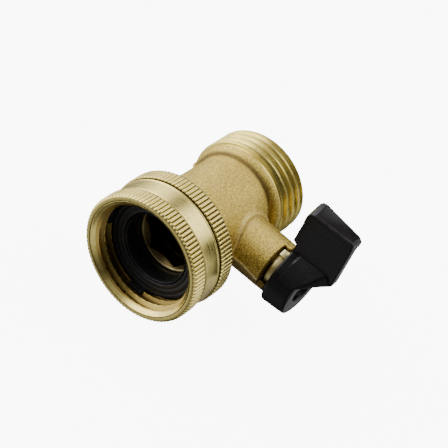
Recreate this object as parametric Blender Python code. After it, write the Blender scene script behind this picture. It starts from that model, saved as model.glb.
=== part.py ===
"""Garden hose shut-off valve with a swivel nut, in its own frame.

Frame: metres. The origin is the centre of the swivel nut's mouth, in the plane of its front rim.
+Y runs along the flow, from the inlet (swivel nut) to the outlet (male hose thread).
+X runs along the stem, from the ball to the handle. +Z is the way the lever points at rest.
The lever stands across the flow at rest, so the valve is closed: the ball's bore runs along Z.
Pieces that touch on the real valve keep a gap of 0.3 mm here.
"""

import math

import bmesh
import bpy
from mathutils import Matrix, Vector

MM = 0.001
GAP = 0.3

# Standard garden hose thread, 3/4-11.5 NH: 26.99 mm over the male crests.
PITCH = 25.4 / 11.5
MALE_CREST_R = 13.5
MALE_ROOT_R = 12.1
FEMALE_CREST_R = 12.5
FEMALE_ROOT_R = 13.8

# Body, along Y.
BODY_FRONT = 14.5
BARREL_R = 11.0
FLANGE_START = 35.2
FLANGE_R = 12.8
OUTLET_END = 46.4
OUTLET_BORE_R = 9.0
FRONT_BORE_R = 9.8
CHAMBER_R = 9.1
SHOULDER = 35.3
PORT_R = 5.1

# Stem boss, along X at STEM_Y.
STEM_Y = 27.4
BOSS_R = 6.4
BOSS_RIM = 19.2
STOP_WALL_TOP = 21.4
STOP_WALL_R = 5.4
# The raised stop wall, in degrees from +Y towards +Z.
STOP_WALL_FROM = 205.0
STOP_WALL_TO = 443.0
STEM_BORE_R = 3.6
STEM_COUNTERBORE_R = 4.6
STEM_COUNTERBORE_END = 11.3

# Ball and seats.
BALL_R = 8.0
BALL_PORT_R = 5.0
SLOT_FLOOR = 6.0
SLOT_HALF = 1.5
SEAT_R = 8.8
SEAT_LIP_R = 7.3

# Swivel nut.
NUT_KNURL_FRONT_R = 15.6
NUT_KNURL_REAR_R = 15.85
NUT_BAND_R = 15.35
NUT_GROOVE_R = 14.85
NUT_END = 14.2
NUT_LIP_R = 9.85
NUT_RELIEF_R = 13.85
NUT_CHAMBER_R = 12.6

# Hose washer with four retaining tabs.
WASHER_FACE = 5.5
WASHER_BACK = 10.7
WASHER_R = 12.15
WASHER_BORE_R = 8.2
TAB_R = 13.5
TAB_HALF_ANGLE = 9.0
TAB_FRONT = 5.6
TAB_BACK = 8.0

# Inlet tailpiece with a hexagonal key socket.
TAIL_FACE = 11.0
TAIL_FLANGE_R = 12.1
TAIL_FLANGE_BACK = 12.4
TAIL_SHANK_R = 9.5
TAIL_END = 2 * STEM_Y - SHOULDER
TAIL_CONE_R = 7.9
HEX_FLATS = 13.0
HEX_END = 15.2
TAIL_BORE_R = 6.2
TAIL_GROOVE = (16.0, 18.1)
TAIL_GROOVE_R = 7.9

# Stem, along X.
STEM_R = 3.3
STEM_FLANGE_R = 4.3
STEM_FLANGE = (9.1, 10.1)
TANG_HALF = (3.0, 1.2)
TANG_END = 6.3
STEM_GROOVES = ((12.4, 14.2), (15.4, 17.2))
STEM_GROOVE_R = 2.0
STEM_TOP = 23.9
D_R = 3.0
D_FLAT = 2.4

# Stop collar and handle.
COLLAR = (20.6, 21.8)
COLLAR_R = 5.0
COLLAR_LUG_R = 6.0
COLLAR_LUG = (87.0, 111.0)
HUB_INNER = 21.8
HUB_DISH_R = 5.7
HUB_DISH = 22.1
HUB_OUTER = 28.6
HUB_R = 8.2
HUB_OUTER_R = 7.8
RECESS_R = 4.2
RECESS_FLOOR = 25.2
PADDLE_FRONT = -2.3
PADDLE_BACK = 0.5
LIP_BACK = 2.3
NECK_HALF = 7.2

# Handle screw.
SCREW_R = 1.5
SCREW_END = 18.3
SCREW_HEAD_R = 3.5
SCREW_HEAD = (26.4, 28.1)


def clear_scene():
    for obj in list(bpy.data.objects):
        bpy.data.objects.remove(obj, do_unlink=True)
    for mesh in list(bpy.data.meshes):
        bpy.data.meshes.remove(mesh)


def material(name, colour, roughness, metallic):
    mat = bpy.data.materials.new(name)
    mat.use_nodes = True
    shader = mat.node_tree.nodes["Principled BSDF"]
    shader.inputs["Base Color"].default_value = (*colour, 1.0)
    shader.inputs["Roughness"].default_value = roughness
    shader.inputs["Metallic"].default_value = metallic
    mat.diffuse_color = (*colour, 1.0)
    return mat


def add_object(name, bm, mat=None, parent=None, location=(0, 0, 0), sharp=35):
    """Makes an object of a bmesh whose coordinates are in millimetres from the object's own origin."""
    bmesh.ops.remove_doubles(bm, verts=bm.verts, dist=1e-5)
    bmesh.ops.recalc_face_normals(bm, faces=bm.faces)
    bmesh.ops.scale(bm, vec=(MM, MM, MM), verts=bm.verts)
    mesh = bpy.data.meshes.new(name)
    bm.to_mesh(mesh)
    bm.free()
    mesh.shade_smooth()
    mesh.set_sharp_from_angle(angle=math.radians(sharp))
    if mat:
        mesh.materials.append(mat)
    obj = bpy.data.objects.new(name, mesh)
    bpy.context.scene.collection.objects.link(obj)
    obj.location = [c * MM for c in location]
    if parent:
        obj.parent = parent
    return obj


def turned(profile, axis="Y", steps=48):
    """A solid of revolution. The profile is a closed loop of (radius, distance along the axis), in millimetres."""
    bm = bmesh.new()
    along = {"X": Vector((1, 0, 0)), "Y": Vector((0, 1, 0)), "Z": Vector((0, 0, 1))}[axis]
    out = {"X": Vector((0, 1, 0)), "Y": Vector((1, 0, 0)), "Z": Vector((1, 0, 0))}[axis]
    verts = [bm.verts.new(out * r + along * t) for r, t in profile]
    edges = []
    for i, vert in enumerate(verts):
        after = verts[(i + 1) % len(verts)]
        if profile[i][0] > 0 or profile[(i + 1) % len(verts)][0] > 0:
            edges.append(bm.edges.new((vert, after)))
    bmesh.ops.spin(
        bm,
        geom=verts + edges,
        cent=(0, 0, 0),
        axis=along,
        angle=2 * math.pi,
        steps=steps,
        use_merge=True,
        use_duplicate=False,
    )
    bmesh.ops.remove_doubles(bm, verts=bm.verts, dist=1e-5)
    # The fan of triangles round each end's centre becomes one flat face.
    centres = [v for v in bm.verts if (v.co - along * v.co.dot(along)).length < 1e-6]
    bmesh.ops.dissolve_verts(bm, verts=centres)
    bmesh.ops.recalc_face_normals(bm, faces=bm.faces)
    return bm


def sector(r_in, r_out, low, high, start, end, step=7.5):
    """A block of a ring about X, from angle start to end in degrees, measured from +Y towards +Z."""
    bm = bmesh.new()
    count = max(2, round((end - start) / step))
    rings = []
    for i in range(count + 1):
        a = math.radians(start + (end - start) * i / count)
        rings.append(
            [
                bm.verts.new((x, r * math.cos(a), r * math.sin(a)))
                for r, x in ((r_in, low), (r_out, low), (r_out, high), (r_in, high))
            ]
        )
    for one, two in zip(rings, rings[1:]):
        for k in range(4):
            bm.faces.new((one[k], one[(k + 1) % 4], two[(k + 1) % 4], two[k]))
    bm.faces.new(rings[0])
    bm.faces.new(rings[-1][::-1])
    return bm


def prism(points, low, high, place):
    """Extrudes a closed outline of 2-D points between two heights. place turns (a, b, height) into a 3-D point."""
    bm = bmesh.new()
    face = bm.faces.new([bm.verts.new(place(a, b, low)) for a, b in points])
    made = bmesh.ops.extrude_face_region(bm, geom=[face])
    shift = Vector(place(0, 0, high)) - Vector(place(0, 0, low))
    bmesh.ops.translate(bm, vec=shift, verts=[v for v in made["geom"] if isinstance(v, bmesh.types.BMVert)])
    bmesh.ops.recalc_face_normals(bm, faces=bm.faces)
    return bm


def box(low, high):
    bm = bmesh.new()
    bmesh.ops.create_cube(bm, size=1.0)
    size = [b - a for a, b in zip(low, high)]
    middle = [(a + b) / 2 for a, b in zip(low, high)]
    bmesh.ops.transform(bm, matrix=Matrix.Translation(middle) @ Matrix.Diagonal((*size, 1)), verts=bm.verts)
    return bm


def rounded(points, radii, arc_steps=4):
    """A closed outline with each corner rounded to its radius."""
    out = []
    count = len(points)
    for i in range(count):
        p, before, after = (Vector(points[j % count]) for j in (i, i - 1, i + 1))
        r = radii[i]
        if r <= 0:
            out.append(tuple(p))
            continue
        u, v = (before - p).normalized(), (after - p).normalized()
        half = u.angle(v) / 2
        reach = r / math.tan(half)
        centre = p + (u + v).normalized() * (r / math.sin(half))
        start, end = p + u * reach - centre, p + v * reach - centre
        turn = start.angle_signed(end)
        for k in range(arc_steps + 1):
            out.append(tuple(centre + Matrix.Rotation(-turn * k / arc_steps, 2) @ start))
    return out


def double_d(r, flat, steps=24):
    """A circle of radius r with two flats at +-flat, as an outline."""
    points = []
    for i in range(steps):
        a = 2 * math.pi * (i + 0.5) / steps
        y, z = r * math.cos(a), r * math.sin(a)
        if abs(y) > flat:
            y = math.copysign(flat, y)
            z = math.copysign(min(abs(z), math.sqrt(r * r - flat * flat)), z)
        points.append((round(y, 6), round(z, 6)))
    kept = []
    for p in points:
        if not kept or p != kept[-1]:
            kept.append(p)
    return kept


def cut(target, cutter, operation="DIFFERENCE"):
    cutter.hide_render = True
    cutter.display_type = "WIRE"
    mod = target.modifiers.new(cutter.name, "BOOLEAN")
    mod.operation = operation
    mod.solver = "EXACT"
    mod.object = cutter


def thread_rings(first, count, crest, root, flat=0.25):
    """Thread flanks as (radius, y) points: count crests, a pitch apart, with roots between them."""
    points = []
    for i in range(count):
        y = first + i * PITCH
        points += [(crest, y - flat), (crest, y + flat)]
        if i < count - 1:
            points += [(root, y + PITCH / 2 - flat), (root, y + PITCH / 2 + flat)]
    return points


clear_scene()

BRASS_CAST = material("brass_cast", (0.52, 0.36, 0.16), 0.45, 1.0)
BRASS_TURNED = material("brass_turned", (0.78, 0.56, 0.22), 0.22, 1.0)
BRASS_NUT = material("brass_knurled", (0.76, 0.55, 0.23), 0.25, 1.0)
BRASS_COLLAR = material("brass_collar", (0.74, 0.55, 0.25), 0.3, 1.0)
BLACK_RUBBER = material("washer_rubber", (0.02, 0.02, 0.022), 0.6, 0.0)
O_RING_RUBBER = material("o_ring_rubber", (0.015, 0.015, 0.016), 0.5, 0.0)
PTFE = material("ptfe", (0.85, 0.85, 0.82), 0.4, 0.0)
CHROME = material("ball_chrome", (0.8, 0.8, 0.82), 0.08, 1.0)
STEM_BRASS = material("stem_brass", (0.72, 0.53, 0.24), 0.3, 1.0)
BLACK_PLASTIC = material("handle_plastic", (0.018, 0.016, 0.018), 0.38, 0.0)
STEEL = material("screw_steel", (0.55, 0.55, 0.56), 0.3, 1.0)

# The two joint axes: the nut turns about Y through the origin, the stem about X at the ball's centre.
nut_axis = bpy.data.objects.new("nut_axis", None)
stem_axis = bpy.data.objects.new("stem_axis", None)
for empty in (nut_axis, stem_axis):
    bpy.context.scene.collection.objects.link(empty)
stem_axis.location = (0, STEM_Y * MM, 0)

# ---- Valve body: one casting, with the barrel, the flange, the male hose thread and the stem boss.
outer = [
    (0, BODY_FRONT),
    (BARREL_R - 0.3, BODY_FRONT),
    (BARREL_R, BODY_FRONT + 0.3),
    (BARREL_R, FLANGE_START),
    (BARREL_R + 0.5, FLANGE_START + 0.5),
    (FLANGE_R - 0.2, FLANGE_START + 0.9),
    (FLANGE_R, FLANGE_START + 1.3),
    (MALE_ROOT_R, FLANGE_START + 2.1),
]
first_crest = FLANGE_START + 3.1
outer += thread_rings(first_crest, 4, MALE_CREST_R, MALE_ROOT_R)
outer += [
    (MALE_ROOT_R, OUTLET_END - 0.4),
    (MALE_ROOT_R - 0.4, OUTLET_END),
    (0, OUTLET_END),
]
valve_body = add_object("valve_body", turned(outer), BRASS_CAST)
boss = add_object("boss_blank", turned([(0, 4), (BOSS_R, 4), (BOSS_R, BOSS_RIM - 0.3), (BOSS_R - 0.3, BOSS_RIM), (0, BOSS_RIM)], "X", 40), location=(0, STEM_Y, 0))
cut(valve_body, boss, "UNION")
stop_wall = add_object(
    "stop_wall_blank",
    sector(STOP_WALL_R, BOSS_R, BOSS_RIM - 1.5, STOP_WALL_TOP, STOP_WALL_FROM, STOP_WALL_TO),
    location=(0, STEM_Y, 0),
)
cut(valve_body, stop_wall, "UNION")
flow_cutter = add_object(
    "flow_cutter",
    turned(
        [
            (0, BODY_FRONT - 1),
            (FRONT_BORE_R, BODY_FRONT - 1),
            (FRONT_BORE_R, TAIL_END + 0.1),
            (CHAMBER_R, TAIL_END + 0.1),
            (CHAMBER_R, SHOULDER),
            (PORT_R, SHOULDER),
            (PORT_R, SHOULDER + 1.2),
            (OUTLET_BORE_R, SHOULDER + 3.4),
            (OUTLET_BORE_R, OUTLET_END - 0.4),
            (OUTLET_BORE_R + 0.6, OUTLET_END + 0.2),
            (OUTLET_BORE_R + 0.6, OUTLET_END + 1),
            (0, OUTLET_END + 1),
        ]
    ),
)
cut(valve_body, flow_cutter)
stem_cutter = add_object(
    "stem_cutter",
    turned(
        [
            (0, 3),
            (STEM_COUNTERBORE_R, 3),
            (STEM_COUNTERBORE_R, STEM_COUNTERBORE_END),
            (STEM_BORE_R, STEM_COUNTERBORE_END),
            (STEM_BORE_R, BOSS_RIM - 0.4),
            (STEM_BORE_R + 0.4, BOSS_RIM),
            (STEM_BORE_R + 0.4, BOSS_RIM + 1),
            (0, BOSS_RIM + 1),
        ],
        "X",
        32,
    ),
    location=(0, STEM_Y, 0),
)
cut(valve_body, stem_cutter)

# ---- Inlet tailpiece: screws into the body and traps the swivel nut's rear lip behind its flange.
tailpiece = add_object(
    "inlet_tailpiece",
    turned(
        [
            (0, TAIL_FACE),
            (TAIL_FLANGE_R - 0.2, TAIL_FACE),
            (TAIL_FLANGE_R, TAIL_FACE + 0.2),
            (TAIL_FLANGE_R, TAIL_FLANGE_BACK),
            (TAIL_SHANK_R, TAIL_FLANGE_BACK),
            (TAIL_SHANK_R, TAIL_GROOVE[0]),
            (TAIL_GROOVE_R, TAIL_GROOVE[0]),
            (TAIL_GROOVE_R, TAIL_GROOVE[1]),
            (TAIL_SHANK_R, TAIL_GROOVE[1]),
            (TAIL_SHANK_R, TAIL_END - 0.4),
            (TAIL_SHANK_R - 0.4, TAIL_END),
            (0, TAIL_END),
        ]
    ),
    BRASS_TURNED,
)
hex_corner = HEX_FLATS / 2 / math.cos(math.pi / 6)
hexagon = [(hex_corner * math.cos(k * math.pi / 3), hex_corner * math.sin(k * math.pi / 3)) for k in range(6)]
hex_cutter = add_object("hex_cutter", prism(hexagon, TAIL_FACE - 1, HEX_END, lambda a, b, h: (a, h, b)))
cut(tailpiece, hex_cutter)
tail_cone = add_object(
    "tail_cone_cutter",
    turned([(0, TAIL_FACE - 1), (TAIL_CONE_R, TAIL_FACE - 1), (TAIL_CONE_R, TAIL_FACE), (TAIL_CONE_R - 2.4, TAIL_FACE + 2.4 * 0.9), (0, TAIL_FACE + 2.4 * 0.9)]),
)
cut(tailpiece, tail_cone)
tail_bore = add_object(
    "tail_bore_cutter",
    turned([(0, HEX_END - 2), (TAIL_BORE_R, HEX_END - 2), (TAIL_BORE_R, TAIL_END - 1.2), (PORT_R, TAIL_END - 0.6), (PORT_R, TAIL_END + 1), (0, TAIL_END + 1)]),
)
cut(tailpiece, tail_bore)


def ring_of(centre_r, section_r, where, axis, steps, around=10):
    """An O-ring: a circle of radius section_r turned about the axis at centre_r."""
    return turned(
        [
            (
                centre_r + section_r * math.cos(2 * math.pi * k / around),
                where + section_r * math.sin(2 * math.pi * k / around),
            )
            for k in range(around)
        ],
        axis,
        steps,
    )


tail_o_ring = add_object(
    "tailpiece_o_ring",
    ring_of((TAIL_GROOVE_R + FRONT_BORE_R) / 2, 0.65, sum(TAIL_GROOVE) / 2, "Y", 40, 6),
    O_RING_RUBBER,
)


# ---- Two ball seats, each with a face that follows the ball.
def seat_profile(side):
    reach = BALL_R + GAP
    back = SHOULDER - GAP - STEM_Y
    arc = []
    for k in range(4):
        r = PORT_R + (SEAT_LIP_R - PORT_R) * k / 3
        arc.append((r, math.sqrt(reach * reach - r * r)))
    lip = arc[-1][1]
    loop = [(SEAT_R, lip), (SEAT_R, back), (PORT_R, back)] + arc
    return [(r, STEM_Y + side * t) for r, t in loop]


downstream_seat = add_object("downstream_seat", turned(seat_profile(1), "Y", 40), PTFE)
upstream_seat = add_object("upstream_seat", turned(seat_profile(-1), "Y", 40), PTFE)

# ---- Swivel nut, with the female hose thread.
nut_outer = [
    (14.05, 0),
    (15.0, 0),
    (15.4, 0.35),
    (NUT_KNURL_FRONT_R, 0.75),
    (NUT_KNURL_FRONT_R, 3.85),
    (NUT_BAND_R, 4.2),
    (NUT_BAND_R, 8.85),
    (NUT_GROOVE_R, 9.05),
    (NUT_GROOVE_R, 9.6),
    (NUT_KNURL_REAR_R, 9.9),
    (NUT_KNURL_REAR_R, 13.5),
    (15.3, 14.0),
    (14.6, NUT_END),
    (NUT_LIP_R, NUT_END),
    (NUT_LIP_R, NUT_END - 1.5),
    (NUT_CHAMBER_R, NUT_END - 1.5),
    (NUT_CHAMBER_R, 8.9),
    (NUT_RELIEF_R, 8.4),
    (NUT_RELIEF_R, 5.0),
    (FEMALE_CREST_R, 3.9),
    (FEMALE_CREST_R, 3.4),
    (FEMALE_ROOT_R - 0.1, 2.5),
    (FEMALE_ROOT_R - 0.1, 2.2),
    (FEMALE_CREST_R, 1.45),
    (FEMALE_CREST_R, 1.15),
    (13.5, 0.6),
]
swivel_nut = add_object("swivel_nut", turned(nut_outer), BRASS_NUT, nut_axis)


# ---- Hose washer: a ring whose front part carries four tabs that hold it in the nut's relief.
def washer():
    bm = bmesh.new()
    angles = []
    for tab in range(4):
        mid = 90.0 * tab
        angles += [mid - TAB_HALF_ANGLE - 1.2, mid - TAB_HALF_ANGLE, mid, mid + TAB_HALF_ANGLE, mid + TAB_HALF_ANGLE + 1.2]
        span_from, span_to = mid + TAB_HALF_ANGLE + 1.2, mid + 90 - TAB_HALF_ANGLE - 1.2
        angles += [span_from + (span_to - span_from) * k / 9 for k in range(1, 9)]
    rings = []
    for deg in angles:
        off = abs((deg + 45) % 90 - 45)
        edge = TAB_R if off <= TAB_HALF_ANGLE + 0.01 else WASHER_R
        profile = [
            (WASHER_BORE_R, WASHER_FACE + 0.7),
            (WASHER_BORE_R + 0.7, WASHER_FACE),
            (WASHER_R - 0.1, WASHER_FACE),
            (edge, TAB_FRONT),
            (edge, TAB_BACK),
            (WASHER_R - 0.1, TAB_BACK + 0.1),
            (WASHER_R - 0.1, WASHER_BACK),
            (WASHER_BORE_R, WASHER_BACK),
        ]
        a = math.radians(deg)
        rings.append([bm.verts.new((r * math.cos(a), y, r * math.sin(a))) for r, y in profile])
    for i, one in enumerate(rings):
        two = rings[(i + 1) % len(rings)]
        for k in range(len(one)):
            j = (k + 1) % len(one)
            bm.faces.new((one[k], one[j], two[j], two[k]))
    return bm


hose_washer = add_object("hose_washer", washer(), BLACK_RUBBER, nut_axis)

# ---- Ball: bored along Z, with a slot on its +X side for the stem's tang. Its origin is its centre.
port_z = math.sqrt(BALL_R**2 - BALL_PORT_R**2)
tilt = math.acos(port_z / BALL_R)
arc = [
    (BALL_R * math.sin(a), BALL_R * math.cos(a))
    for a in [tilt + (math.pi - 2 * tilt) * k / 10 for k in range(11)]
]
ball = add_object("ball", turned(arc, "Z", 40), CHROME, stem_axis)
slot_cutter = add_object(
    "ball_slot_cutter", box((SLOT_FLOOR, -9, -SLOT_HALF), (10, 9, SLOT_HALF)), parent=stem_axis
)
cut(ball, slot_cutter)

# ---- Stem: tang, blow-out flange, shaft with two O-ring grooves, double-D top with a tapped hole.
stem_profile = [(0, STEM_FLANGE[0]), (STEM_FLANGE_R, STEM_FLANGE[0]), (STEM_FLANGE_R, STEM_FLANGE[1]), (STEM_R, STEM_FLANGE[1])]
for low, high in STEM_GROOVES:
    stem_profile += [(STEM_R, low), (STEM_GROOVE_R, low), (STEM_GROOVE_R, high), (STEM_R, high)]
stem_profile += [(STEM_R, BOSS_RIM - 0.3), (0, BOSS_RIM - 0.3)]
stem = add_object("stem", turned(stem_profile, "X", 32), STEM_BRASS, stem_axis)
tang = add_object(
    "tang_blank",
    box((TANG_END, -TANG_HALF[0], -TANG_HALF[1]), (STEM_FLANGE[0] + 0.5, TANG_HALF[0], TANG_HALF[1])),
    parent=stem_axis,
)
cut(stem, tang, "UNION")
d_top = add_object(
    "d_top_blank",
    prism(double_d(D_R, D_FLAT), BOSS_RIM - 1.0, STEM_TOP, lambda a, b, h: (h, a, b)),
    parent=stem_axis,
)
cut(stem, d_top, "UNION")
screw_hole = add_object(
    "screw_hole_cutter",
    turned([(0, SCREW_END - GAP - 0.1), (SCREW_R + GAP, SCREW_END - GAP - 0.1), (SCREW_R + GAP, STEM_TOP + 1), (0, STEM_TOP + 1)], "X", 20),
    parent=stem_axis,
)
cut(stem, screw_hole)
thrust_washer = add_object(
    "stem_thrust_washer",
    turned([(STEM_R + GAP, 10.4), (STEM_FLANGE_R, 10.4), (STEM_FLANGE_R, 11.0), (STEM_R + GAP, 11.0)], "X", 32),
    PTFE,
    stem_axis,
)
for name, (low, high) in zip(("stem_o_ring_inner", "stem_o_ring_outer"), STEM_GROOVES):
    add_object(name, ring_of(2.8, 0.5, (low + high) / 2, "X", 24, 6), O_RING_RUBBER, stem_axis)

# ---- Stop collar: a brass ring keyed to the stem, whose lug runs between the ends of the boss's stop wall.
collar = add_object(
    "stop_collar", turned([(0, COLLAR[0]), (COLLAR_R, COLLAR[0]), (COLLAR_R, COLLAR[1]), (0, COLLAR[1])], "X", 40), BRASS_COLLAR, stem_axis
)
lug = add_object(
    "collar_lug_blank",
    sector(COLLAR_R - 0.6, COLLAR_LUG_R, COLLAR[0] + 0.1, COLLAR[1] - 0.1, COLLAR_LUG[0], COLLAR_LUG[1], 6),
    parent=stem_axis,
)
cut(collar, lug, "UNION")
collar_hole = add_object(
    "collar_hole_cutter",
    prism(double_d(D_R + GAP, D_FLAT + GAP), COLLAR[0] - 1, COLLAR[1] + 1, lambda a, b, h: (h, a, b)),
    parent=stem_axis,
)
cut(collar, collar_hole)

# ---- Handle: a round hub over the stem and a flat paddle standing along +Z.
handle = add_object(
    "handle",
    turned(
        [
            (0, HUB_DISH),
            (HUB_DISH_R, HUB_DISH),
            (HUB_DISH_R + 0.3, HUB_INNER),
            (HUB_R - 0.9, HUB_INNER),
            (HUB_R, HUB_INNER + 0.9),
            (HUB_OUTER_R, HUB_OUTER - 0.5),
            (HUB_OUTER_R - 0.5, HUB_OUTER),
            (0, HUB_OUTER),
        ],
        "X",
        40,
    ),
    BLACK_PLASTIC,
    stem_axis,
)
# The paddle is a thin plate with a thicker lip along its top end. Outlines are (x, z) from the stem axis.
plate_outline = rounded(
    [(22.35, 1.0), (22.35, 10.2), (21.5, 11.2), (20.35, 20.4), (34.1, 19.3), (34.1, 7.8), (28.4, 1.6)],
    [0, 0, 0, 1.5, 0.8, 1.2, 0],
)
lip_outline = rounded(
    [(20.6, 18.6), (20.25, 21.55), (34.3, 20.1), (34.3, 17.9)],
    [0, 2.0, 1.2, 0],
    2,
)
for name, outline, front, back in (
    ("plate_blank", plate_outline, PADDLE_FRONT + 0.07, PADDLE_BACK),
    ("lip_blank", lip_outline, PADDLE_FRONT, LIP_BACK),
):
    blank = add_object(name, prism(outline, front, back, lambda a, b, h: (a, h, b)), parent=stem_axis)
    bevel = blank.modifiers.new("edge_round", "BEVEL")
    bevel.width = 0.0004
    bevel.segments = 1
    bevel.limit_method = "ANGLE"
    bevel.angle_limit = math.radians(50)
    cut(handle, blank, "UNION")

# The neck spreads from the plate to the hub's full width, and on to the plate's lower outer corner.
neck_mesh = bmesh.new()
for side in (-1, 1):
    for x, y, z in (
        (24.6, NECK_HALF, 3.9),
        (HUB_OUTER - 0.1, NECK_HALF, 3.9),
        (33.5, 2.2, 7.2),
        (24.6, 2.2, 9.6),
        (32.4, 2.2, 10.4),
        (24.6, 2.2, 2.0),
        (HUB_OUTER - 0.1, 2.2, 2.0),
    ):
        neck_mesh.verts.new((x, side * y, z))
hull = bmesh.ops.convex_hull(neck_mesh, input=neck_mesh.verts)
bmesh.ops.delete(neck_mesh, geom=[g for g in set(hull["geom_interior"] + hull["geom_unused"]) if isinstance(g, bmesh.types.BMVert)], context="VERTS")
neck = add_object("neck_blank", neck_mesh, parent=stem_axis)
cut(handle, neck, "UNION")
recess = add_object(
    "recess_cutter",
    turned(
        [
            (0, RECESS_FLOOR),
            (RECESS_R, RECESS_FLOOR),
            (RECESS_R, HUB_OUTER - 0.3),
            (RECESS_R + 0.4, HUB_OUTER + 0.1),
            (RECESS_R + 0.4, 40),
            (0, 40),
        ],
        "X",
        32,
    ),
    parent=stem_axis,
)
cut(handle, recess)
web_hole = add_object(
    "web_hole_cutter",
    turned([(0, 20), (SCREW_R + 0.4, 20), (SCREW_R + 0.4, RECESS_FLOOR + 1), (0, RECESS_FLOOR + 1)], "X", 20),
    parent=stem_axis,
)
cut(handle, web_hole)
socket = add_object(
    "socket_cutter",
    prism(double_d(D_R + GAP, D_FLAT + GAP), 20.5, STEM_TOP + GAP, lambda a, b, h: (h, a, b)),
    parent=stem_axis,
)
cut(handle, socket)

# ---- Handle screw and its lock washer, in the hub's recess.
screw = add_object(
    "handle_screw",
    turned(
        [
            (0, SCREW_END),
            (SCREW_R - 0.3, SCREW_END),
            (SCREW_R, SCREW_END + 0.4),
            (SCREW_R, SCREW_HEAD[0]),
            (SCREW_HEAD_R, SCREW_HEAD[0]),
            (SCREW_HEAD_R, SCREW_HEAD[0] + 0.7),
            (SCREW_HEAD_R - 0.7, SCREW_HEAD[1] - 0.2),
            (SCREW_HEAD_R - 1.6, SCREW_HEAD[1]),
            (0, SCREW_HEAD[1]),
        ],
        "X",
        28,
    ),
    STEEL,
    stem_axis,
)
for name, size in (("drive_a_cutter", (0.35, 2.0)), ("drive_b_cutter", (2.0, 0.35))):
    drive = add_object(
        name,
        box((SCREW_HEAD[1] - 1.0, -size[0], -size[1]), (SCREW_HEAD[1] + 1, size[0], size[1])),
        parent=stem_axis,
    )
    cut(screw, drive)
lock_washer = add_object(
    "screw_lock_washer",
    turned([(SCREW_R + GAP, 25.5), (3.6, 25.5), (3.6, 26.1), (SCREW_R + GAP, 26.1)], "X", 28),
    STEEL,
    stem_axis,
)
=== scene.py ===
"""Looks of the garden hose shut-off valve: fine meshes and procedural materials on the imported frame."""

import math

import bpy
import numpy as np
from mathutils import Matrix, Vector


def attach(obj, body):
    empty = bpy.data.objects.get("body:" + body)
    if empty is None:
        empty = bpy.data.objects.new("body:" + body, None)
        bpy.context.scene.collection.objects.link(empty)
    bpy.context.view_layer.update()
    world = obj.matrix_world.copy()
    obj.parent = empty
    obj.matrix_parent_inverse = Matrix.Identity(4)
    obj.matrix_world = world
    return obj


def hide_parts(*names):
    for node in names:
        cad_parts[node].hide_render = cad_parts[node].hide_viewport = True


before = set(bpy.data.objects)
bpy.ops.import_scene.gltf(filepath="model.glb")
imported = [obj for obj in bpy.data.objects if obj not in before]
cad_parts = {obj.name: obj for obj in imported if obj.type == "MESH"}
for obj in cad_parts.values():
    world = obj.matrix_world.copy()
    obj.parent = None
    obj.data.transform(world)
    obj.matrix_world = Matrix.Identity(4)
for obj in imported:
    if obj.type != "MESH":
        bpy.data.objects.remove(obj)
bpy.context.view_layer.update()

MM = 0.001
PITCH = 25.4 / 11.5
STEM_Y = 27.4
TAU = 2 * math.pi


# ------------------------------------------------------------------ camera
camera_data = bpy.data.cameras.new("camera")
camera_data.sensor_width = 36.0
camera_data.lens = 1300.0 / 448.0 * 36.0
camera_data.clip_start = 0.01
camera = bpy.data.objects.new("camera", camera_data)
bpy.context.scene.collection.objects.link(camera)
right = Vector((0.73836781, 0.59116622, 0.32455429))
down = Vector((0.61995255, -0.40555177, -0.67170425))
forward = Vector((-0.2654653, 0.69717305, -0.66594137))
turn = Matrix((right, -down, -forward)).transposed().to_4x4()
camera.matrix_world = Matrix.Translation((0.08475, -0.18466, 0.20149)) @ turn
bpy.context.scene.camera = camera


# ------------------------------------------------------------------ mesh tools (millimetres in, metres out)
def finish_mesh(name, points, faces, material, body, nodes=(), slot=None, sharp=None):
    """Makes an object of points in millimetres and faces, closes up doubled points, and turns the faces outwards."""
    import bmesh

    mesh = bpy.data.meshes.new(name)
    mesh.from_pydata((np.asarray(points, float) * MM).tolist(), [], faces)
    bm = bmesh.new()
    bm.from_mesh(mesh)
    bmesh.ops.remove_doubles(bm, verts=bm.verts, dist=2e-7)
    bmesh.ops.dissolve_degenerate(bm, dist=1e-7, edges=bm.edges)
    loose = [v for v in bm.verts if not v.link_faces]
    bmesh.ops.delete(bm, geom=loose, context="VERTS")
    if bm.calc_volume(signed=True) < 0:
        bmesh.ops.reverse_faces(bm, faces=bm.faces)
    bm.to_mesh(mesh)
    bm.free()
    mesh.shade_smooth()
    if sharp is not None:
        mesh.set_sharp_from_angle(angle=math.radians(sharp))
    obj = bpy.data.objects.new(name, mesh)
    bpy.context.scene.collection.objects.link(obj)
    mesh.materials.append(material)
    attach(obj, body)
    if nodes:
        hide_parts(*nodes)
    return obj


def around(count, start=0.0):
    return start + TAU * np.arange(count) / count


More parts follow.
